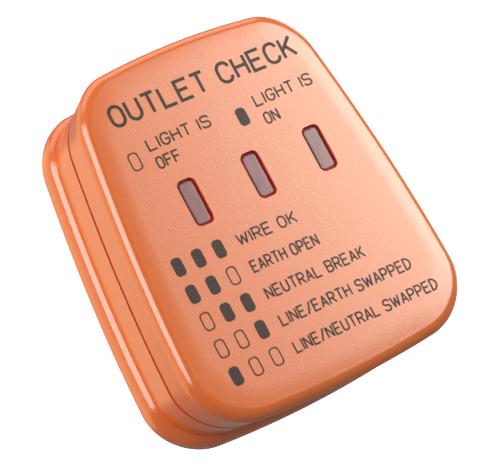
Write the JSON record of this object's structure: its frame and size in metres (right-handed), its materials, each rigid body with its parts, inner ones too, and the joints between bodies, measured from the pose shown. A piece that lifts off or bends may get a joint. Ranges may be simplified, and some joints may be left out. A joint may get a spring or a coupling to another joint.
{
  "type": "outlet tester plug",
  "caption": "Plug-in outlet tester: tapered two-shell body, three lamp windows in the flat face, rectangular earth, line and neutral pins behind.",
  "frame": {"origin": "middle of the rear face, which meets the socket's plate", "axes": "+Z out of the printed face, +Y towards the top of the face and the earth pin, +X to the right seen from the front; the pins point along -Z"},
  "size_m": [0.0558, 0.0636, 0.0444],
  "materials": {
    "moulding": "orange moulding, fine spark-eroded face, smooth sides",
    "lens": "smooth grey-mauve window, faintly red",
    "pin_brass": "drawn brass, lightly scratched",
    "sleeve": "black insulating sleeve",
    "plate": "brown laminate",
    "screw_steel": "bright plated steel",
    "board": "green solder resist",
    "lamp_glass": "clear neon lamp glass",
    "resistor": "tan lacquer",
    "legend_ink": "thin dark grey print on the face, drawn with the looks and held by no node",
    "shroud": "white moulding"
  },
  "bodies": {
    "root": {"front_cover": "moulding", "rear_base": "moulding", "lens_left": "lens", "lens_middle": "lens", "lens_right": "lens", "line_pin": "pin_brass", "neutral_pin": "pin_brass", "earth_pin": "pin_brass", "line_sleeve": "sleeve", "neutral_sleeve": "sleeve", "line_contact": "pin_brass", "neutral_contact": "pin_brass", "earth_contact": "pin_brass", "pin_plate": "plate", "plate_screw_left": "screw_steel", "plate_screw_right": "screw_steel", "circuit_board": "board", "lamp_left": "lamp_glass", "lamp_middle": "lamp_glass", "lamp_right": "lamp_glass", "electrodes_left": "screw_steel", "electrodes_middle": "screw_steel", "electrodes_right": "screw_steel", "resistor_left": "resistor", "resistor_middle": "resistor", "resistor_right": "resistor", "lamp_shroud": "shroud", "board_screw_left": "screw_steel", "board_screw_right": "screw_steel", "case_screw_top_left": "screw_steel", "case_screw_top_right": "screw_steel", "case_screw_bottom_left": "screw_steel", "case_screw_bottom_right": "screw_steel"}
  },
  "joints": []
}
